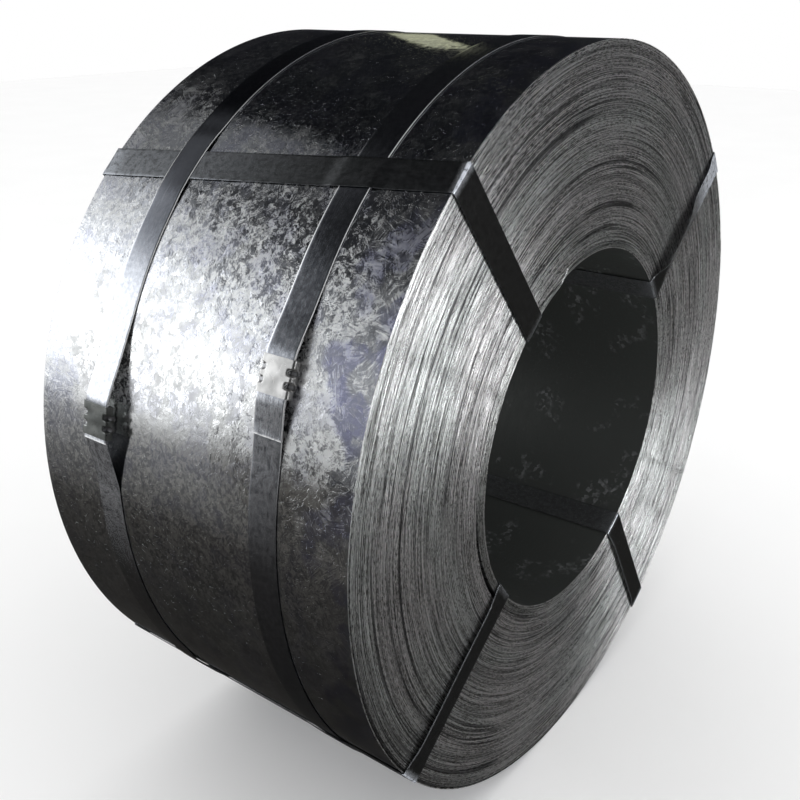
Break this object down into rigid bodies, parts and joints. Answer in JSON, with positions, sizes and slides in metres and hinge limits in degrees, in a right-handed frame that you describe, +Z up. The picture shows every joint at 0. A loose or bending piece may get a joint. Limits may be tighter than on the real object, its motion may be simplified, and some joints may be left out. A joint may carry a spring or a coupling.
{
  "type": "strapped steel coil",
  "caption": "Coil of galvanised steel strip lying with its eye horizontal, held by bands round the outside and eye straps through the bore, with crimped seals",
  "frame": {"origin": "on the floor under the middle of the bounding box", "axes": "+Z up, the coil's axis along Y, the end with the plain eye-strap runs facing -Y, the band seals on the -X side"},
  "size_m": [0.8298, 0.4196, 0.8198],
  "materials": {
    "coil_zinc": "galvanised, spangled",
    "band_steel": "blue-grey tempered strap",
    "eye_strap_steel": "black waxed strap",
    "seal_steel": "bright zinc-plated sheet"
  },
  "bodies": {
    "root": {"coil": "coil_zinc", "front_band": "band_steel", "front_band_seal": "seal_steel", "rear_band": "band_steel", "rear_band_seal": "seal_steel", "eye_strap_upper_left": "eye_strap_steel", "eye_strap_seal_upper_left": "seal_steel", "eye_strap_upper_right": "eye_strap_steel", "eye_strap_seal_upper_right": "seal_steel", "eye_strap_lower_right": "eye_strap_steel", "eye_strap_seal_lower_right": "seal_steel", "eye_strap_lower_left": "eye_strap_steel", "eye_strap_seal_lower_left": "seal_steel"}
  },
  "joints": []
}
